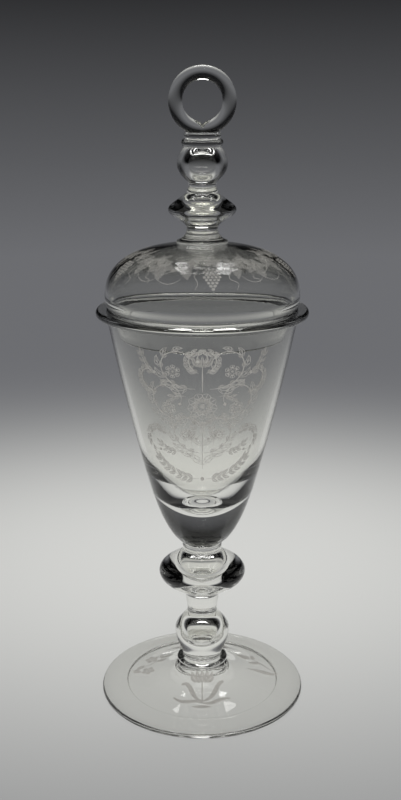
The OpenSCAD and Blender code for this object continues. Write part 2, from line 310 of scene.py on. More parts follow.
# %% Shader group for hand-worked glass
RIPPLE_SCALE = 70.0
RING_SCALE = 520.0
RING_DRIFT = (0.02, 0.02, 0.0)
RING_NEAR = 20 * MM
RING_FAR = 34 * MM
FAINT_RINGS = 0.1
worked, work_in, work_out = node_tree(
    "hand_worked_skin",
    "ShaderNodeTree",
    {"Vector": VECTOR, "Ripple": FLOAT, "Ring": FLOAT},
    {"Height": FLOAT},
)
ripples = noise(worked, work_in["Vector"], RIPPLE_SCALE, 1.0, 0.4)
from_axis = distance_out(worked, work_in["Vector"])
up_and_in = math_node(worked, "SUBTRACT", part_of(worked, work_in["Vector"], "Z"), from_axis)
drift = vector_node(worked, "MULTIPLY", work_in["Vector"], RING_DRIFT)
ring_place = vector_node(worked, "ADD", drift, put(worked, "ShaderNodeCombineXYZ", {"Z": up_and_in}))
rings = noise(worked, ring_place, RING_SCALE, 2.0)
near_axis = ramp(worked, from_axis, RING_NEAR, RING_FAR, 1.0, FAINT_RINGS)
ripple_height = math_node(worked, "MULTIPLY", ripples, work_in["Ripple"])
ring_height = math_node(worked, "MULTIPLY", math_node(worked, "MULTIPLY", rings, near_axis), work_in["Ring"])
worked.links.new(math_node(worked, "ADD", ripple_height, ring_height), work_out["Height"])
print("shader group:", worked.name)

# %% [markdown]
# The three glasses differ only in their skin. Foot and bowl were blown and hardly touched. Knops and
# discs were tooled. The dome of the cover was spun open from its top, so its rings are the strongest.

# %% Glass materials
GLASS_IOR = 1.5
GREY_CAST = (0.985, 0.985, 0.96)


def principled(name):
    """New material with its node tree and its Principled shader."""
    material = bpy.data.materials.new(name)
    material.use_nodes = True
    return material, material.node_tree, material.node_tree.nodes["Principled BSDF"]


def glass(name, ripple, ring):
    """Clear glass whose skin has the given heights of ripple and tool rings, in metres."""
    material, tree, shader = principled(name)
    place = put(tree, "ShaderNodeTexCoord", {}, "Object")
    heights = {"Vector": place, "Ripple": ripple / MM, "Ring": ring / MM}
    skin = put(tree, "ShaderNodeGroup", heights, node_tree=worked)
    bump = put(tree, "ShaderNodeBump", {"Height": skin, "Strength": 1.0, "Distance": MM})
    clear = {"Base Color": (*GREY_CAST, 1), "Roughness": 0.0, "IOR": GLASS_IOR, "Transmission Weight": 1.0}
    feed(tree, shader, {**clear, "Normal": bump})
    return material


blown_glass = glass("blown_glass", 0.012 * MM, 0.0001 * MM)
tooled_glass = glass("tooled_glass", 0.025 * MM, 0.0007 * MM)
domed_glass = glass("domed_glass", 0.02 * MM, 0.006 * MM)
print("glass:", blown_glass.name, tooled_glass.name, domed_glass.name)

# %% [markdown]
# ## Welds
# Two gathers that are pressed together hot leave no gap: light goes straight across the weld. Each
# skin here is still a closed shell of its own, so the two flat faces of a weld carry a material with
# an Alpha of 0. Without it, every weld would mirror like a slit of air.

# %% The unseen weld
NO_WELD = -1.0
weld_face, weld_tree, weld_shader = principled("weld_face")
feed(weld_tree, weld_shader, {"Base Color": (*GREY_CAST, 1), "Alpha": 0.0})


def weld_levels(node):
    """Heights of a node's lower and upper weld, below the ground where it has none."""
    levels = []
    for side in (0, 1):
        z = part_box(node)[side].z
        meets = any(abs(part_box(n)[1 - side].z - z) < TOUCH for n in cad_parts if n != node)
        levels.append(z if meets else NO_WELD)
    return levels


print("welds of the cushion knop, in mm:", [round(z / MM, 2) for z in weld_levels("cushion_knop")])

# %% [markdown]
# ## Turning the skins
# A turned piece follows a rule, so a Geometry Nodes tree makes it: the outline is laid flat, swept
# round a small circle that stands for the axis, and closed at the poles. A slow noise then moves the
# skin in or out by a tenth of a millimetre, because no hand-blown piece is truly round. The noise
# depends on place alone, so two pieces still meet exactly at their weld. The tree also marks the edges
# that stay sharp and gives the weld faces their own material.

# %% Steps of the lathe
OUT_OF_ROUND_SCALE = 14.0
TRUE_CORE = 12 * MM
FLAT = 2e-7


def sweep(tree, outline, hub, segments):
    """Sweeps an outline round a circle of the hub's size and closes it at the poles."""
    curve = put(tree, "GeometryNodeMeshToCurve", {"Mesh": outline})
    place = put(tree, "GeometryNodeInputPosition", {})
    across = math_node(tree, "SUBTRACT", part_of(tree, place, "X"), hub)
    down = math_node(tree, "MULTIPLY", part_of(tree, place, "Z"), -1.0)
    laid = put(tree, "ShaderNodeCombineXYZ", {"X": across, "Y": down})
    flat = put(tree, "GeometryNodeSetPosition", {"Geometry": curve, "Position": laid})
    circle = put(tree, "GeometryNodeCurvePrimitiveCircle", {"Resolution": segments, "Radius": hub})
    skin = put(tree, "GeometryNodeCurveToMesh", {"Curve": circle, "Profile Curve": flat})
    skin = put(tree, "GeometryNodeFlipFaces", {"Mesh": skin})
    return put(tree, "GeometryNodeMergeByDistance", {"Geometry": skin, "Distance": TOUCH})


def unround(tree, skin, amount):
    """Moves a skin in or out of true by a slow noise, less and less towards the axis."""
    place = put(tree, "GeometryNodeInputPosition", {})
    slow = noise(tree, place, OUT_OF_ROUND_SCALE, 0.0)
    share = math_node(tree, "DIVIDE", distance_out(tree, place), TRUE_CORE)
    swing = math_node(tree, "MULTIPLY", math_node(tree, "SUBTRACT", slow, 0.5), amount)
    swing = math_node(tree, "MULTIPLY", swing, math_node(tree, "MINIMUM", share, 1.0))
    outwards = vector_node(tree, "NORMALIZE", vector_node(tree, "MULTIPLY", place, LEVEL))
    shift = scaled(tree, outwards, swing)
    return put(tree, "GeometryNodeSetPosition", {"Geometry": skin, "Offset": shift})


def at_weld(tree, level):
    """True on faces that lie flat at a weld's height."""
    z = part_of(tree, put(tree, "GeometryNodeInputPosition", {}), "Z")
    return math_node(tree, "COMPARE", z, level, FLAT)


print("steps of the lathe:", sweep.__name__, unround.__name__, at_weld.__name__)

# %% The lathe tree
lathe, lathe_in, lathe_out = node_tree(
    "glass_lathe",
    "GeometryNodeTree",
    {
        "Geometry": GEOMETRY,
        "Segments": "NodeSocketInt",
        "Hub": FLOAT,
        "Out of round": FLOAT,
        "Low weld": FLOAT,
        "High weld": FLOAT,
        "Sharp angle": FLOAT,
        "Glass": MATERIAL,
        "Weld": MATERIAL,
    },
    {"Geometry": GEOMETRY},
)
skin = sweep(lathe, lathe_in["Geometry"], lathe_in["Hub"], lathe_in["Segments"])
skin = unround(lathe, skin, lathe_in["Out of round"])
angle = put(lathe, "GeometryNodeInputMeshEdgeAngle", {})
sharp = put(lathe, "FunctionNodeCompare", {0: angle, 1: lathe_in["Sharp angle"]}, operation="GREATER_THAN")
edges = {"Geometry": skin, "Name": "sharp_edge", "Value": sharp}
skin = put(lathe, "GeometryNodeStoreNamedAttribute", edges, data_type="BOOLEAN", domain="EDGE")
skin = put(lathe, "GeometryNodeSetShadeSmooth", {"Geometry": skin})
skin = put(lathe, "GeometryNodeRealizeInstances", {"Geometry": skin})
skin = put(lathe, "GeometryNodeSetMaterial", {"Geometry": skin, "Material": lathe_in["Glass"]})
low_weld, high_weld = (at_weld(lathe, lathe_in[label]) for label in ("Low weld", "High weld"))
welded = math_node(lathe, "MAXIMUM", low_weld, high_weld)
weld_faces = {"Geometry": skin, "Selection": welded, "Material": lathe_in["Weld"]}
lathe.links.new(put(lathe, "GeometryNodeSetMaterial", weld_faces), lathe_out["Geometry"])
print("geometry tree:", lathe.name)

# %% [markdown]
# An air bubble is a second outline inside the first, which touches the axis at both ends. Its skin has
# to face the air, so its outline runs the other way.

# %% Turn a piece
SEGMENTS = 192
HUB = 10 * MM
OUT_OF_ROUND = 0.25 * MM
SHARP = math.radians(30)


def outline_mesh(node):
    """Mesh of a node's smooth outlines as chains of edges, a bubble's run the other way."""
    mesh = bpy.data.meshes.new(node)
    verts, edges = [], []
    chains = seam_chains(node)
    for chain in chains:
        points = smooth(chain)
        bubble = chain[0, 0] < TOUCH and chain[-1, 0] < TOUCH and len(chains) > 1
        if bubble:
            points = points[::-1]
        first = len(verts)
        verts += [(r, 0, z) for r, z in points]
        edges += [(i, i + 1) for i in range(first, len(verts) - 1)]
    mesh.from_pydata(verts, edges, [])
    return mesh


def turned(node, material, welds):
    """Turned skin of a node."""
    values = {
        "Segments": SEGMENTS,
        "Hub": HUB,
        "Out of round": OUT_OF_ROUND,
        "Low weld": welds[0],
        "High weld": welds[1],
        "Sharp angle": SHARP,
        "Glass": material,
        "Weld": weld_face,
    }
    return grown(f"{node}_glass", outline_mesh(node), lathe, values)


print("outlines of the cushion knop:", len(seam_chains("cushion_knop")))

# %% [markdown]
# Each skin now takes the place of its node and hangs on the same body, so the cover's pieces lift off
# together and the goblet's stay.

# %% Turn the goblet and its cover
CM3 = 1e-6


def placed(piece, body, slot, *nodes):
    """Hangs a piece on its body, in place of the nodes that it stands for."""
    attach(piece, body)
    if nodes:
        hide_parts(*nodes)
    solid = bmesh.new()
    solid.from_mesh(piece.data)
    volume = round(solid.calc_volume(signed=True) / CM3, 3)
    print(piece.name, "faces:", len(solid.faces), "volume in cm3:", volume)
    solid.free()


goblet_glass = {
    "foot": blown_glass,
    "foot_merese": tooled_glass,
    "ball_knop": tooled_glass,
    "cushion_knop": tooled_glass,
    "bowl_merese": tooled_glass,
    "bowl": blown_glass,
}
cover_glass = {
    "cover_dome": domed_glass,
    "cover_merese": tooled_glass,
    "cover_knop": tooled_glass,
    "cover_ball": tooled_glass,
    "finial_collar_lower": tooled_glass,
}
skins = {}
for body, glasses in (("goblet", goblet_glass), ("cover", cover_glass)):
    for node, material in glasses.items():
        skins[node] = turned(node, material, weld_levels(node))
        placed(skins[node], body, "clear_glass", node)

# %% [markdown]
# ## The ring
# The ring is a rod, bent round while soft until its ends met on the collar, and pressed down. Its
# inside keeps a cleft where the ends met. A torus has no cleft, so a ring of circles makes the rod,
# pinched in at the cleft, and a union joins it to the collar, because the two run together in an
# outline that isn't round. The circles stand closer together near the cleft.

# %% Bend the rod
RING_STEPS = 176
ROD_STEPS = 56
CROWDING = 0.6
CLEFT_DEPTH = 1.8 * MM
CLEFT_HALF = 7.7 * MM
CLEFT_POWER = 5
ring_low, ring_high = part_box("finial_ring")
rod_r = (ring_high.y - ring_low.y) / 2
bend_r = (ring_high.x - ring_low.x) / 2 - rod_r
ring_mid = ring_high.z - bend_r - rod_r


def rod_point(step, side):
    """Point on the bent rod: step goes round the ring from its lowest place, side round the rod."""
    t = 2 * math.pi * step / RING_STEPS
    around = t - CROWDING * math.sin(t)
    b = 2 * math.pi * side / ROD_STEPS
    inner = max(0.0, -math.cos(b))
    off = abs(math.remainder(around, 2 * math.pi)) * bend_r / CLEFT_HALF
    r = rod_r - CLEFT_DEPTH * max(0.0, 1 - off) ** CLEFT_POWER * inner
    out = bend_r + r * math.cos(b)
    return out * math.sin(around), r * math.sin(b), ring_mid - out * math.cos(around)


def bent_rod():
    """Object with the closed mesh of the ring."""
    mesh = bpy.data.meshes.new("finial_ring_glass")
    verts = [rod_point(i, j) for i in range(RING_STEPS) for j in range(ROD_STEPS)]
    faces = []
    for i in range(RING_STEPS):
        for j in range(ROD_STEPS):
            a, b = i * ROD_STEPS, (i + 1) % RING_STEPS * ROD_STEPS
            k = (j + 1) % ROD_STEPS
            faces.append((a + j, b + j, b + k, a + k))
    mesh.from_pydata(verts, [], faces)
    for material in (tooled_glass, weld_face):
        mesh.materials.append(material)
    mesh.shade_smooth()
    return linked("finial_ring_glass", mesh)


ring = bent_rod()
print("rod radius in mm:", round(rod_r / MM, 2))

# %% Join it to its collar
collar = turned("finial_collar_upper", tooled_glass, (weld_levels("finial_collar_upper")[0], NO_WELD))
union = ring.modifiers.new("weld", "BOOLEAN")
union.operation = "UNION"
union.solver = "EXACT"
union.object = collar
settle(ring)
bpy.data.objects.remove(collar)
ring.data.set_sharp_from_angle(angle=SHARP)
placed(ring, "cover", "clear_glass", "finial_ring", "finial_collar_upper")
print("ring materials:", [m.name for m in ring.data.materials])

# %% [markdown]
# ## Wheel engraving
# The ornament was cut after the glass was cold, with small copper wheels fed with emery. A cut is
# matt, so it scatters light: it looks grey against a pale ground and whitish against a dark one. Here
# each cut is a thin closed sheet that lies on the skin. A painted mask would need a picture, and real
# grooves a far finer skin. Cuts are drawn flat, in millimetres, as strips between two lines, because a
# pattern on paper is how an engraver starts too.

# %% Lines to cut along
CUT_STEP = 1.1
FEWEST_STEPS = 8


def toward(heading):
    """Direction of a heading, in degrees."""
    return np.array([math.cos(math.radians(heading)), math.sin(math.radians(heading))])


def swept(start, heading, length, turn=0.0, curl=1.0):
    """Line that sets out in a heading and turns through an angle on its way."""
    count = max(FEWEST_STEPS, round(length / CUT_STEP))
    t = (np.arange(count) + 0.5) / count
    way = np.radians(heading + turn * t**curl)
    steps = np.stack([np.cos(way), np.sin(way)], axis=1) * length / count
    return np.concatenate([[start], start + np.cumsum(steps, axis=0)])


def drawn(*handles):
    """Line along a cubic curve with four handles."""
    a, b, c, d = np.array(handles, dtype=float)
    reach = np.linalg.norm(np.diff([a, b, c, d], axis=0), axis=1).sum()
    t = np.linspace(0, 1, max(FEWEST_STEPS, round(reach / CUT_STEP)) + 1)[:, None]
    return (1 - t) ** 3 * a + 3 * (1 - t) ** 2 * t * b + 3 * (1 - t) * t**2 * c + t**3 * d


def beside(line, distance):
    """Line at a distance to the left of another."""
    way = np.gradient(line, axis=0)
    left = np.stack([-way[:, 1], way[:, 0]], axis=1) / np.linalg.norm(way, axis=1)[:, None]
    return line + left * np.reshape(distance, (-1, 1))


def heading_at(line, i):
    """Heading of a line at a point, in degrees."""
    x, y = line[min(i + 1, len(line) - 1)] - line[max(i - 1, 0)]
    return math.degrees(math.atan2(y, x))


print("points on a line of 20 mm:", len(swept((0, 0), 0, 20)))

# %% [markdown]
# An engraver works with few strokes: a stem, a matt leaf, a leaf in fine lines and a round bead. Each
# stroke is a list of cuts, and a cut is two lines and a share. The share tells how deep it is: 1 for a
# full cut, less where the wheel only touched.

# %% Strokes
HAIR = 0.34
VEIN = 0.28
VEINED = (0.2, 0.75)
VEIN_REACH = 0.75
RIB_HALF = 0.1
TIP_HALF = 0.04
LOBE_NOTCH = 0.3
BEAD_ARC = np.radians(np.linspace(-86, 86, 9))


def stem(line, width, end=0.4, share=1.0):
    """One cut along a line, widest in the middle."""
    half = width / 2 * (end + (1 - end) * np.sin(math.pi * np.linspace(0, 1, len(line))))
    return [(beside(line, -half), beside(line, half), share)]


def leaf_half(line, width, fullest, lobes):
    """Half-width of a leaf along its line."""
    t = np.linspace(0, 1, len(line))
    notched = 1 - LOBE_NOTCH * (t * lobes % 1)
    return width / 2 * np.sin(math.pi * t**fullest) * notched + TIP_HALF


def blade(line, width, fullest=0.8, lobes=0, share=1.0):
    """Leaf or petal of two matt halves, with a clear rib between them."""
    edge = RIB_HALF + leaf_half(line, width, fullest, lobes)
    left = (beside(line, RIB_HALF), beside(line, edge), share)
    right = (beside(line, -edge), beside(line, -RIB_HALF), share)
    return [left, right]


def traced(line, width, fullest=0.8, lobes=0, veins=3):
    """Leaf drawn in fine lines: two edges, a rib and veins."""
    half = leaf_half(line, width, fullest, lobes)
    cuts = stem(line, HAIR) + stem(beside(line, half), HAIR) + stem(beside(line, -half), HAIR)
    for i in (np.linspace(*VEINED, veins) * (len(line) - 1)).astype(int):
        for side in (VEIN_REACH, -VEIN_REACH):
            tip = beside(line, side * half)[min(i + 2, len(line) - 1)]
            cuts += stem(line[i] + np.linspace(0, 1, 5)[:, None] * (tip - line[i]), VEIN)
    return cuts


def bead(middle, radius, share=1.0):
    """Round cut."""
    x, y = middle
    out, up = radius * np.cos(BEAD_ARC), radius * np.sin(BEAD_ARC)
    return [(np.stack([x + out, y + up], axis=1), np.stack([x - out, y + up], axis=1), share)]


print("cuts in a traced leaf:", len(traced(swept((0, 0), 90, 10), 4)))

# %% [markdown]
# The cover carries a grape vine: light leaves with five lobes, bunches of round grapes and fine
# tendrils. One length of it is drawn here, and it comes again round the dome.

# %% Ornament of the cover: a vine
LEAF_LOBES = ((-112, 0.55), (-57, 0.82), (0, 1.0), (57, 0.82), (112, 0.55))
GRAPE_R = 0.92
GRAPE_ACROSS = 2.2
GRAPE_DOWN = 1.95


def vine_leaf(at, heading, size):
    """Leaf of a grape vine: five lobes, lightly matted, with a rib in each."""
    cuts = []
    for aside, part in LEAF_LOBES:
        line = swept(at, heading + aside, size * part)
        cuts += blade(line, size * part * 0.6, lobes=4, share=0.17) + stem(line, 0.3, share=0.28)
    return cuts


def tendril(at, heading, length, wave):
    """Fine wavy line."""
    t = np.linspace(0, 1, 25)[:, None]
    swing = wave * np.sin(3.2 * math.pi * t) * toward(heading + 90)
    return stem(at + t * length * toward(heading) + swing, HAIR, share=0.5)


def grapes(at, rows):
    """Hanging bunch of grapes, with a count for each row."""
    x, y = at
    cuts = []
    for row, count in enumerate(rows):
        for k in range(count):
            middle = (x + GRAPE_ACROSS * (k - (count - 1) / 2), y - GRAPE_DOWN * row)
            cuts += bead(middle, GRAPE_R, 0.45)
    return cuts


def vine():
    """One length of the vine round the cover."""
    cuts = grapes((5.5, 7.0), (4, 5, 4, 5, 4, 3, 2, 1))
    cuts += vine_leaf((6.5, 12.5), 78, 12) + vine_leaf((-11.8, 12.5), -75, 14) + vine_leaf((-3, 16), 120, 9)
    cuts += vine_leaf((22.5, 13), -98, 14) + vine_leaf((-27.5, 10), -80, 13) + vine_leaf((31, 13), 60, 9)
    for handles in (
        ((5.5, 8), (5, 10), (4, 12), (0, 12.5)),
        ((-33, 4), (-22, -6), (-16, 14), (0, 12.5)),
        ((0, 12.5), (12, 11), (18, 16), (31, 4)),
        ((23, 1), (26, -4), (32, -6), (37, -1)),
        ((-12, 0), (-16, -6), (-22, -5), (-27, -1)),
    ):
        cuts += stem(drawn(*handles), 0.4, share=0.42)
    cuts += tendril((-4, 10), -88, 17, 1.0) + tendril((15, 7), -75, 15, 1.6) + tendril((29, 3), -60, 9, 1.0)
    return cuts


ornament = {"cover_vine": ("cover_dome", "cover", vine())}
print("cuts in the vine:", len(ornament["cover_vine"][2]))

# %% [markdown]
# On the bowl, flowers stand among scrolls of foliage over a festoon of leaves. Both sides are alike, so
# one half is drawn and mirrored. Scrolls coil by a rule, and their leaves follow the stem.

# %% Flowers, twigs and scrolls
PETAL_ROUND = 1.2
SMALL_LEAF_SHARE = 0.55


def flower(middle, radius, petals, turn=0.0):
    """Open flower: a beaded heart, a ring of matt petals and a ring of traced ones."""
    cuts = bead(middle, 0.18 * radius, 0.6)
    for row, (inner, outer, width) in enumerate(((0.26, 0.62, 0.34), (0.5, 1.0, 0.56))):
        for k in range(petals):
            heading = turn + 360 * (k + 0.5 * row) / petals
            line = swept(middle + inner * radius * toward(heading), heading, (outer - inner) * radius)
            if row:
                cuts += traced(line, width * radius, PETAL_ROUND, veins=1)
            else:
                cuts += blade(line, width * radius, PETAL_ROUND, share=0.5)
    return cuts


def tulip(at, height, spread, share=1.0):
    """Cup of a tulip, seen from the side."""
    x, y = at
    cuts = []
    for k in range(-2, 3):
        side = k * spread
        root = (x + 0.25 * side, y + 0.04 * height * k * k)
        belly = (x + 0.85 * side, y + 0.2 * height)
        neck = (x + 0.95 * side, y + 0.6 * height)
        petal = drawn(root, belly, neck, (x + side, y + height))
        cuts += blade(petal, 1.02 * spread, 0.75, share=share)
    return cuts


def twig(line, length, width, every, lean=42):
    """Stem with a pair of small leaves at each step along its line, and one at its end."""
    cuts = stem(line, 0.45)
    reach = np.append(0, np.cumsum(np.linalg.norm(np.diff(line, axis=0), axis=1)))
    for d in np.arange(every, reach[-1], every):
        i = int(np.searchsorted(reach, d))
        for side in (-1, 1):
            leaf = swept(line[i], heading_at(line, i) + side * lean, length, -side * 24)
            cuts += blade(leaf, width, share=SMALL_LEAF_SHARE)
    last = swept(line[-1], heading_at(line, len(line) - 1), length)
    return cuts + blade(last, width, share=SMALL_LEAF_SHARE)


def scroll(start, heading, length, turn, size):
    """Coiling stem with traced leaves on its outer side and small matt ones inside."""
    line = swept(start, heading, length, turn, curl=1.5)
    outer = -math.copysign(1, turn)
    cuts = stem(line, 0.55) + bead(line[-1], 0.9)
    for part in np.linspace(0.08, 0.8, 7):
        i = int(part * (len(line) - 1))
        reach = size * (1.1 - 0.7 * part)
        outside = swept(line[i], heading_at(line, i) + 46 * outer, reach, -70 * outer)
        inside = swept(line[i], heading_at(line, i) - 38 * outer, 0.4 * reach, 40 * outer)
        cuts += traced(outside, 0.42 * reach, lobes=3)
        cuts += blade(inside, 0.16 * reach, share=SMALL_LEAF_SHARE)
    return cuts


print("cuts in a flower of eight petals:", len(flower((0, 0), 6, 8)))

# %% Ornament of the bowl: a bouquet
def mirrored(cuts):
    """The same cuts on the other side of the middle line."""
    flip = np.array([-1.0, 1.0])
    return [(b * flip, a * flip, share) for a, b, share in cuts]


def bouquet():
    """Flowers among scrolls of foliage over a festoon of leaves, the same on both sides."""
    half = []
    for start, heading, length, turn, size in (
        ((1, -25), 5, 58, 320, 10),
        ((5, 0), -24, 62, 325, 11),
        ((4, 17), 2, 56, 300, 10),
        ((2, 27), 35, 26, 260, 6),
        ((22, -14), 28, 32, -230, 8),
        ((26, 13), 12, 26, 210, 7),
    ):
        half += scroll(start, heading, length, turn, size)
    half += flower((10.5, -13), 4.2, 6, 12) + flower((20, 3.5), 4.6, 7, 20) + flower((15.5, 27.5), 4.2, 6, 5)
    for handles in (
        ((24, 24), (28, 25), (32, 29), (33, 36)),
        ((14, -24), (20, -26), (25, -25), (29, -21)),
        ((7, -20), (8, -16), (6, -9), (5, -6)),
        ((9, 12), (13, 13), (16, 12), (18, 10)),
    ):
        half += twig(drawn(*handles), 4.6, 1.5, 3.4)
    half += twig(drawn((2.5, -43), (12, -43.5), (25, -40), (32, -32)), 6.4, 2.2, 4.4)
    half += traced(swept((0.6, -33), 55, 12, -40), 4.6, lobes=3)
    half += traced(swept((0.6, -20), 52, 9, -36), 3.6, lobes=3)
    heart = flower((0, 6), 8.6, 9, 90) + stem(swept((0, -36), 90, 33), 0.7) + tulip((0, 30.5), 7.5, 2.4, 0.5)
    heart += stem(swept((0, 15), 90, 16), 0.6) + bead((0, -43), 1.4)
    return half + mirrored(half) + heart


ornament["bowl_bouquet"] = ("bowl", "goblet", bouquet())
print("cuts in the bouquet:", len(ornament["bowl_bouquet"][2]))

# %% [markdown]
# The foot has three kinds of sprig, each cut in a few broad matt strokes: a tulip, two open flowers and
# a bud.

# %% Ornament of the foot: three sprigs
def tulip_sprig():
    """Tulip on a stem with two pairs of curling leaves, over a patch of ground."""
    cuts = tulip((0, 17.6), 7.0, 3.4) + stem(swept((0, 1.5), 90, 17), 0.9, 0.9)
    for handles in (
        ((-0.3, 3.6), (-8, 6), (-6, 20), (-13.5, 18)),
        ((-0.3, 1.8), (-7, 6.5), (-12, -1), (-18.5, 8)),
        ((0.3, 3.6), (9, 6), (8, 18), (14, 20.5)),
        ((0.3, 1.8), (8, -0.5), (10, 7.5), (18, 7)),
    ):
        cuts += stem(drawn(*handles), 3.0)
    return cuts + stem(swept((-6.6, -1.6), 0, 12.6), 2.7, 0.1)


def rose_sprig():
    """Two open flowers and leaves on a bent stem."""
    cuts = stem(drawn((8.5, -7), (5, 2), (-3, 6), (-9, 10)), 0.9)
    for middle, turn in (((8.6, 4.6), 90), ((-6.6, 2.4), 60)):
        cuts += bead(middle, 1.0)
        for k in range(5):
            cuts += bead(middle + 2.9 * toward(turn + 72 * k), 1.6)
    for at, heading, length, width, turn in (
        ((8.2, -6), 60, 7, 3.6, 30),
        ((7.2, -3.4), 165, 7, 3.4, -30),
        ((-9, 10), 140, 8, 4.2, -30),
        ((-4, 7), 100, 7, 3.4, 30),
        ((-8, 9.4), 190, 6, 3, 30),
    ):
        cuts += blade(swept(at, heading, length, turn), width)
    return cuts


def bud_sprig():
    """Bud on a thin stem with long leaves."""
    cuts = stem(drawn((-12, -10), (-6, -4), (4, -2), (8, 4)), 0.9)
    cuts += blade(drawn((8, 4), (10, 6), (12, 9), (13, 13)), 5.4, 0.7)
    cuts += blade(drawn((-12, -10), (-15, -2), (-6, 2), (-6.5, 11)), 3.6, 0.9)
    return cuts + blade(swept((1, -1.8), 70, 9, 30), 3.6) + blade(swept((6.5, 2), -20, 7, 40), 3.0)


ornament["foot_tulips"] = ("foot", "goblet", tulip_sprig())
ornament["foot_rose"] = ("foot", "goblet", rose_sprig())
ornament["foot_bud"] = ("foot", "goblet", bud_sprig())
print("cuts:", {name: len(cuts) for name, (_, _, cuts) in ornament.items()})

# %% [markdown]
# The cuts carry their own grain. A wheel leaves short scratches and frosts some places more than
# others, so a second shader group mixes a fine and a coarse noise into one mask, which thins the
# frosting here and there. The mask and the cut's own share make its Alpha, so a light touch lets more
# of the glass below show through.

# %% Matt cut glass
SCRATCH_SCALE = 2600.0
PATCH_SCALE = 420.0
SCRATCH_DEPTH = 0.02 * MM
CUT_TONE = (0.525, 0.51, 0.475)
CUT_MATT = 0.85
CUT_FROST = 0.85
CUT_WEAR = 0.45
grain, grain_in, grain_out = node_tree(
    "wheel_grain",
    "ShaderNodeTree",
    {"Vector": VECTOR, "Frost": FLOAT, "Wear": FLOAT},
    {"Cover": FLOAT, "Height": FLOAT},
)
scratch = noise(grain, grain_in["Vector"], SCRATCH_SCALE, 1.0, 0.6)
patches = noise(grain, grain_in["Vector"], PATCH_SCALE, 1.0)
uneven = math_node(grain, "SUBTRACT", math_node(grain, "ADD", scratch, patches), 1.0)
frosted = math_node(grain, "ADD", math_node(grain, "MULTIPLY", uneven, grain_in["Wear"]), grain_in["Frost"])
grain.links.new(put(grain, "ShaderNodeClamp", {"Value": frosted}), grain_out["Cover"])
grain.links.new(scratch, grain_out["Height"])

engraved_glass, cut_tree, cut_shader = principled("engraved_glass")
cut_place = put(cut_tree, "ShaderNodeTexCoord", {}, "Object")
cut_grain = {"Vector": cut_place, "Frost": CUT_FROST, "Wear": CUT_WEAR}
frosting = put(cut_tree, "ShaderNodeGroup", cut_grain, node_tree=grain).node.outputs
cut_depth = put(cut_tree, "ShaderNodeAttribute", {}, "Fac", attribute_name="depth")
cut_alpha = math_node(cut_tree, "MULTIPLY", frosting["Cover"], cut_depth)
scratched = {"Height": frosting["Height"], "Strength": 0.4, "Distance": SCRATCH_DEPTH}
cut_normal = put(cut_tree, "ShaderNodeBump", scratched)
cut_look = {"Base Color": (*CUT_TONE, 1), "Roughness": CUT_MATT}
feed(cut_tree, cut_shader, {**cut_look, "Alpha": cut_alpha, "Normal": cut_normal})
print("cut material:", engraved_glass.name)

# %% [markdown]
# The wrapping tree holds the flat drawing before the glass and throws every point of it at the skin,
# like a slide on a curved wall. The drawing can be bent round the axis first, which the bowl and the
# cover need, or stay plane, which suits the foot. Copies are turned on by a set angle. Where a ray
# meets the skin, the point settles there at its own small height.

# %% The wrapping tree
wrap, wrap_in, wrap_out = node_tree(
    "engraving_wrap",
    "GeometryNodeTree",
    {
        "Geometry": GEOMETRY,
        "Skin": "NodeSocketObject",
        "Radius": FLOAT,
        "Height": FLOAT,
        "Tilt": FLOAT,
        "Bend": FLOAT,
        "Spread": FLOAT,
        "Copies": "NodeSocketInt",
        "First turn": FLOAT,
        "Turn": FLOAT,
        "Cut": MATERIAL,
    },
    {"Geometry": GEOMETRY},
)
one = put(wrap, "GeometryNodeGeometryToInstance", {"Geometry": wrap_in["Geometry"]})
amount = {"Geometry": one, "Amount": wrap_in["Copies"]}
many = put(wrap, "GeometryNodeDuplicateElements", amount, domain="INSTANCE")
number = {"Geometry": many, "Name": "copy", "Value": many.node.outputs["Duplicate Index"]}
numbered = put(wrap, "GeometryNodeStoreNamedAttribute", number, data_type="INT", domain="INSTANCE")
sheets = put(wrap, "GeometryNodeRealizeInstances", {"Geometry": numbered})
print("geometry tree:", wrap.name)

# %% Throw the drawing at the skin
AWAY = 0.1


def turned_about(tree, vector, angle):
    """Vector turned about the goblet's axis."""
    return put(tree, "ShaderNodeVectorRotate", {"Vector": vector, "Angle": angle}, rotation_type="Z_AXIS")


flat_place = put(wrap, "GeometryNodeInputPosition", {})
flat_x, flat_y, lift = (part_of(wrap, flat_place, axis) for axis in "XYZ")
sine, cosine = (math_node(wrap, operation, wrap_in["Tilt"]) for operation in ("SINE", "COSINE"))
before = math_node(wrap, "MULTIPLY", wrap_in["Radius"], -1.0)
inward = math_node(wrap, "MULTIPLY_ADD", flat_y, sine, before)
inward = math_node(wrap, "MULTIPLY_ADD", cosine, -AWAY, inward)
height = math_node(wrap, "MULTIPLY_ADD", flat_y, cosine, wrap_in["Height"])
height = math_node(wrap, "MULTIPLY_ADD", sine, AWAY, height)
spread = math_node(wrap, "MULTIPLY", flat_x, wrap_in["Spread"])
copy = put(wrap, "GeometryNodeInputNamedAttribute", {"Name": "copy"}, data_type="INT")
about = math_node(wrap, "MULTIPLY_ADD", copy, wrap_in["Turn"], wrap_in["First turn"])
about = math_node(wrap, "MULTIPLY_ADD", flat_x, wrap_in["Bend"], about)
held = put(wrap, "ShaderNodeCombineXYZ", {"X": spread, "Y": inward, "Z": height})
aim = put(wrap, "ShaderNodeCombineXYZ", {"Y": cosine, "Z": math_node(wrap, "MULTIPLY", sine, -1.0)})
throw = {
    "Target Geometry": put(wrap, "GeometryNodeObjectInfo", {"Object": wrap_in["Skin"]}, "Geometry"),
    "Source Position": turned_about(wrap, held, about),
    "Ray Direction": turned_about(wrap, aim, about),
    "Ray Length": 2 * AWAY,
}
hit = put(wrap, "GeometryNodeRaycast", throw).node.outputs
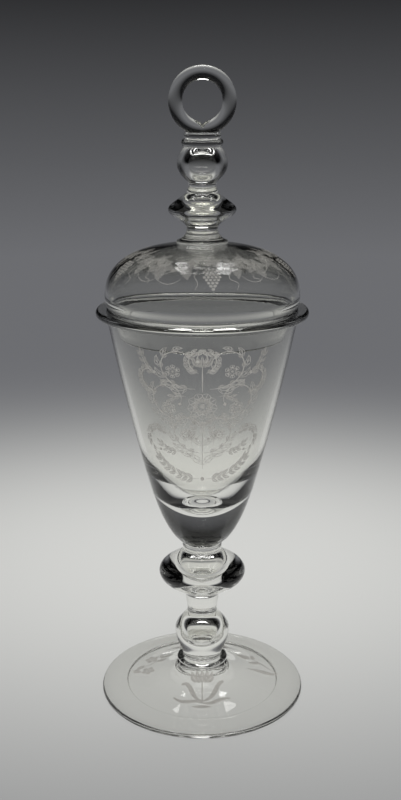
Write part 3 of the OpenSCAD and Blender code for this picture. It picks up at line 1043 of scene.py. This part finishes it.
settled = vector_node(wrap, "ADD", hit["Hit Position"], scaled(wrap, hit["Hit Normal"], lift))
sheets = put(wrap, "GeometryNodeSetPosition", {"Geometry": sheets, "Position": settled})
sheets = put(wrap, "GeometryNodeRemoveAttribute", {"Geometry": sheets, "Name": "copy"})
sheets = put(wrap, "GeometryNodeSetMaterial", {"Geometry": sheets, "Material": wrap_in["Cut"]})
wrap.links.new(sheets, wrap_out["Geometry"])
print("nodes in the wrapping tree:", len(wrap.nodes))

# %% [markdown]
# A sheet needs a top, a floor and a rim, so that it is a closed shell like any other piece. Cuts cross
# each other, so neighbours lie at slightly different heights, which keeps their faces apart.

# %% Sheets from cuts
CUT_LIFT = 0.03 * MM
CUT_THICK = 0.02 * MM
CUT_LAYER = 0.004 * MM
CUT_LAYERS = 5


def sheet_faces(rows, columns, top, floor):
    """Faces of a closed sheet whose top and floor are grids of points from the given first ones."""
    index = np.arange(rows * columns).reshape(rows, columns)
    corners = [index[:-1, :-1], index[1:, :-1], index[1:, 1:], index[:-1, 1:]]
    quads = np.stack(corners, axis=-1).reshape(-1, 4)
    rim = [*index[:, 0], *index[-1, 1:], *index[-2::-1, -1], *index[0, -2:0:-1]]
    faces = [tuple(top + q) for q in quads] + [tuple(floor + q[::-1]) for q in quads]
    return faces + [(top + i, floor + i, floor + j, top + j) for i, j in zip(rim, rim[1:] + rim[:1])]


def flat_mesh(name, cuts):
    """Thin closed sheet for each cut, with its height above the ground as Z and its share of depth."""
    mesh = bpy.data.meshes.new(name)
    verts, faces, depth = [], [], []
    for layer, (a, b, share) in enumerate(cuts):
        columns = math.ceil(np.linalg.norm(b - a, axis=1).max() / CUT_STEP) + 1
        grid = (a[:, None] + (b - a)[:, None] * np.linspace(0, 1, columns)[None, :, None]) * MM
        low = CUT_LIFT + layer % CUT_LAYERS * CUT_LAYER
        top, floor = len(verts), len(verts) + len(a) * columns
        for z in (low + CUT_THICK, low):
            verts += [(x, y, z) for x, y in grid.reshape(-1, 2)]
        depth += [share] * (len(verts) - top)
        faces += sheet_faces(len(a), columns, top, floor)
    mesh.from_pydata(verts, [], faces)
    mesh.attributes.new("depth", "FLOAT", "POINT").data.foreach_set("value", depth)
    return mesh


print("faces of a sheet of 3 by 2 points:", len(sheet_faces(3, 2, 0, 6)))

# %% [markdown]
# The vine leans back with the dome and goes round it in five equal lengths. The bouquet faces the
# front of the bowl. The sprigs are thrown straight down on the foot, the tulip at the front and again
# at the back, the others to its sides.

# %% Engrave the glass
VINE_R = 51 * MM
VINE_HEIGHT = 284.5 * MM
VINE_LENGTHS = 5
BOUQUET_R = 48 * MM
BOUQUET_HEIGHT = 204 * MM
SPRIG_R = 40 * MM
SPRIG_TURN = math.radians(105)
round_dome = {"Radius": VINE_R, "Height": VINE_HEIGHT, "Tilt": math.radians(45), "Bend": 1 / VINE_R}
on_bowl = {"Radius": BOUQUET_R, "Height": BOUQUET_HEIGHT, "Bend": 1 / BOUQUET_R}
on_foot = {"Radius": SPRIG_R, "Tilt": math.radians(90), "Spread": 1.0}
layout = {
    "cover_vine": {**round_dome, "Copies": VINE_LENGTHS, "Turn": 2 * math.pi / VINE_LENGTHS},
    "bowl_bouquet": {**on_bowl, "Copies": 1},
    "foot_tulips": {**on_foot, "Copies": 2, "Turn": math.pi},
    "foot_rose": {**on_foot, "Copies": 1, "First turn": -SPRIG_TURN},
    "foot_bud": {**on_foot, "Copies": 1, "First turn": SPRIG_TURN},
}
for name, (node, body, cuts) in ornament.items():
    values = {"Skin": skins[node], "Cut": engraved_glass, **layout[name]}
    placed(grown(name, flat_mesh(name, cuts), wrap, values), body, "engraved_glass")

# %% [markdown]
# ## Studio
# The goblet stands on a pale sweep in a pool of soft light that fades to a grey backdrop, and the backdrop
# darkens upwards. The pool is painted light, set in the sweep's own tone rather than cast by the lamps.
# Clear glass has no colour of its own to show, so this surrounding is what is seen in it. The sweep is one
# turned sheet, wide enough for a camera on any side.

# %% The sweep
SWEEP_R = 6.0
SWEEP_TOP = 4.5
SWEEP_STEPS = 96
COVE_R = 1.0
COVE_STEPS = 16


def cove_point(angle):
    """Point (radius, height) on the rounded corner between floor and wall."""
    return SWEEP_R - COVE_R * (1 - math.sin(angle)), COVE_R * (1 - math.cos(angle))


def turned_sheet(name, outline):
    """Object with an open outline swept round the axis."""
    builder = bmesh.new()
    profile = [builder.verts.new((r, 0, z)) for r, z in outline]
    for a, b in zip(profile, profile[1:]):
        builder.edges.new((a, b))
    bmesh.ops.spin(
        builder,
        geom=builder.verts[:] + builder.edges[:],
        axis=(0, 0, 1),
        cent=(0, 0, 0),
        angle=2 * math.pi,
        steps=SWEEP_STEPS,
        use_merge=True,
    )
    bmesh.ops.remove_doubles(builder, verts=builder.verts, dist=TOUCH)
    bmesh.ops.recalc_face_normals(builder, faces=builder.faces)
    mesh = bpy.data.meshes.new(name)
    builder.to_mesh(mesh)
    builder.free()
    mesh.shade_smooth()
    return linked(name, mesh)


cove = [cove_point(a) for a in np.linspace(0, math.pi / 2, COVE_STEPS + 1)]
backdrop = turned_sheet("sweep", [(0.0, 0.0), *cove, (SWEEP_R, SWEEP_TOP)])
print("sweep radius in m:", SWEEP_R)

# %% [markdown]
# The sweep's tone is the sum of two: a painted pool of light, and the far wall, which fades with the height
# at which the eye meets it. The foot gathers light like a lens, and that is painted in too, as a pool a
# little brighter under it. The walls at the sides are dark: they are what draws the dark edges that give
# clear glass its outline.

# %% Tones of the sweep
POOL_PLACE = (0.0, 0.2, 0.0)
POOL_STRETCH = (0.75, 1.0, 0.0)
POOL_R = 0.35
POOL_EDGE = 2.4
PAINTED_POOL_TONE = (0.515, 0.515, 0.484)
PAINTED_CAUSTIC = 0.15
PAINTED_CAUSTIC_EDGE = 8 * MM
FAR_TONE = (0.160, 0.163, 0.174)
FADE = (-0.155, 0.115, 1.0, 0.02)
EYE_HEIGHT = 0.394
EYE_REACH = 0.66
SIDE_NEAR = 0.3
SIDE = (0.35, 0.7, 1.0, 0.15)
paper = bpy.data.materials.new("sweep_paper")
paper.use_nodes = True
sheet = paper.node_tree
sheet.nodes.clear()
place = put(sheet, "ShaderNodeTexCoord", {}, "Object")
up = part_of(sheet, place, "Z")
reach = distance_out(sheet, place)

# Painted pool of light: the sweep's tone is brightest just behind the goblet and fades outwards.
offset = vector_node(sheet, "MULTIPLY", vector_node(sheet, "SUBTRACT", place, POOL_PLACE), POOL_STRETCH)
apart = math_node(sheet, "DIVIDE", vector_node(sheet, "LENGTH", offset, out="Value"), POOL_R)
edge = math_node(sheet, "POWER", apart, POOL_EDGE)
pool = math_node(sheet, "EXPONENT", math_node(sheet, "MULTIPLY", edge, -1.0))
# Painted caustic: the pool is a little brighter under the foot, as if the glass gathered light there.
painted_caustic = ramp(sheet, reach, cad_high.x - PAINTED_CAUSTIC_EDGE, cad_high.x, 1 + PAINTED_CAUSTIC, 1.0)
painted_pool_light = scaled(sheet, PAINTED_POOL_TONE, math_node(sheet, "MULTIPLY", pool, painted_caustic))

above_eye = math_node(sheet, "SUBTRACT", up, EYE_HEIGHT)
rise = math_node(sheet, "DIVIDE", above_eye, math_node(sheet, "ADD", reach, EYE_REACH))
fade = ramp(sheet, rise, *FADE)
to_side = math_node(sheet, "ABSOLUTE", part_of(sheet, place, "X"))
sideways = math_node(sheet, "DIVIDE", to_side, math_node(sheet, "ADD", reach, SIDE_NEAR))
dimmed = ramp(sheet, sideways, *SIDE, interpolation_type="SMOOTHSTEP")
wall = ramp(sheet, up, 0.0, COVE_R, 0.0, 1.0)
wall_level = put(sheet, "ShaderNodeMix", {"Factor": wall, "A": 1.0, "B": dimmed})
far_tone = scaled(sheet, FAR_TONE, math_node(sheet, "MULTIPLY", fade, wall_level))
tone = vector_node(sheet, "ADD", painted_pool_light, far_tone)
print("pool of light in m:", POOL_R)

# %% [markdown]
# What the camera and the glass see of the sweep is mostly a set glow, so the lamps don't have to light
# it evenly. The rest is lit, so it keeps the goblet's shadow.

# %% Glow and shadow
GLOW_SHARE = 0.85
path = put(sheet, "ShaderNodeLightPath", {}).node.outputs
by_glass = math_node(sheet, "MAXIMUM", path["Is Glossy Ray"], path["Is Transmission Ray"])
seen = math_node(sheet, "MAXIMUM", path["Is Camera Ray"], by_glass)
glow_level = math_node(sheet, "MULTIPLY", seen, GLOW_SHARE)
# Painted light: the sweep glows with its own tone for the camera and the glass, though it is no lamp.
glow = put(sheet, "ShaderNodeEmission", {"Color": tone, "Strength": glow_level})
lit = put(sheet, "ShaderNodeBsdfDiffuse", {"Color": tone})
lit_share = put(sheet, "ShaderNodeMixShader", {0: glow_level, 1: lit})
both = put(sheet, "ShaderNodeAddShader", {0: glow, 1: lit_share})
feed(sheet, sheet.nodes.new("ShaderNodeOutputMaterial"), {"Surface": both})
backdrop.data.materials.append(paper)
print("sweep material:", paper.name)

# %% [markdown]
# One softbox high behind the goblet gives the bright lines on its shoulders. A panel in front lights
# the matt cuts. Clear glass would mirror that panel, so the glass is kept from seeing it. The air is
# dark to the eye but fills the shadows.

# %% Lamps and world
SOFTBOX_PLACE = (0.05, 1.0, 1.95)
SOFTBOX_SIZE = (0.83, 0.6)
SOFTBOX_WATTS = 7.7
FRONT_PLACE = (0.0, -1.2, 0.45)
FRONT_SIZE = (0.8, 0.5)
FRONT_WATTS = 9.3
LAMP_AIM = Vector((0, 0, 0.2))
OPEN_AIR = 0.02
FILL_AIR = 0.75


def panel(name, place, size, watts):
    """Soft rectangular lamp that faces the goblet."""
    light = bpy.data.lights.new(name, "AREA")
    light.shape = "RECTANGLE"
    light.size, light.size_y = size
    light.energy = watts
    made = linked(name, light)
    made.location = place
    made.rotation_euler = (LAMP_AIM - made.location).to_track_quat("-Z", "Y").to_euler()
    return made


panel("softbox", SOFTBOX_PLACE, SOFTBOX_SIZE, SOFTBOX_WATTS)
front_fill = panel("front_fill", FRONT_PLACE, FRONT_SIZE, FRONT_WATTS)
front_fill.visible_glossy = False
front_fill.visible_transmission = False
world = bpy.data.worlds.new("studio_air")
world.use_nodes = True
bpy.context.scene.world = world
air = world.node_tree
air_path = put(air, "ShaderNodeLightPath", {}).node.outputs
air_level = ramp(air, air_path["Is Diffuse Ray"], 0.0, 1.0, OPEN_AIR, FILL_AIR)
feed(air, air.nodes["Background"], {"Color": (1, 1, 1, 1), "Strength": air_level})
print("softbox at", SOFTBOX_PLACE, "and front fill at", FRONT_PLACE)

# %% [markdown]
# ## Camera
# The camera looks slightly down on the goblet from the front. Its place and lens were worked out from
# the ellipses of the foot, the flange and the ring, whose true shape is a circle. Light goes through
# many skins of glass before it is lost, so it is followed for many bounces.

# %% Camera
CAMERA_PLACE = (-0.0011, -0.6598, 0.3938)
CAMERA_PITCH = math.radians(16.417)
CAMERA_LENS = 49.5
lens = bpy.data.cameras.new("camera")
lens.lens = CAMERA_LENS
camera = linked("camera", lens)
camera.location = CAMERA_PLACE
camera.rotation_euler = (math.pi / 2 - CAMERA_PITCH, 0, 0)
scene = bpy.context.scene
scene.camera = camera
scene.view_settings.view_transform = "Standard"
scene.cycles.max_bounces = 32
scene.cycles.transmission_bounces = 32
scene.cycles.glossy_bounces = 16
scene.cycles.transparent_max_bounces = 48
print("camera at", CAMERA_PLACE)
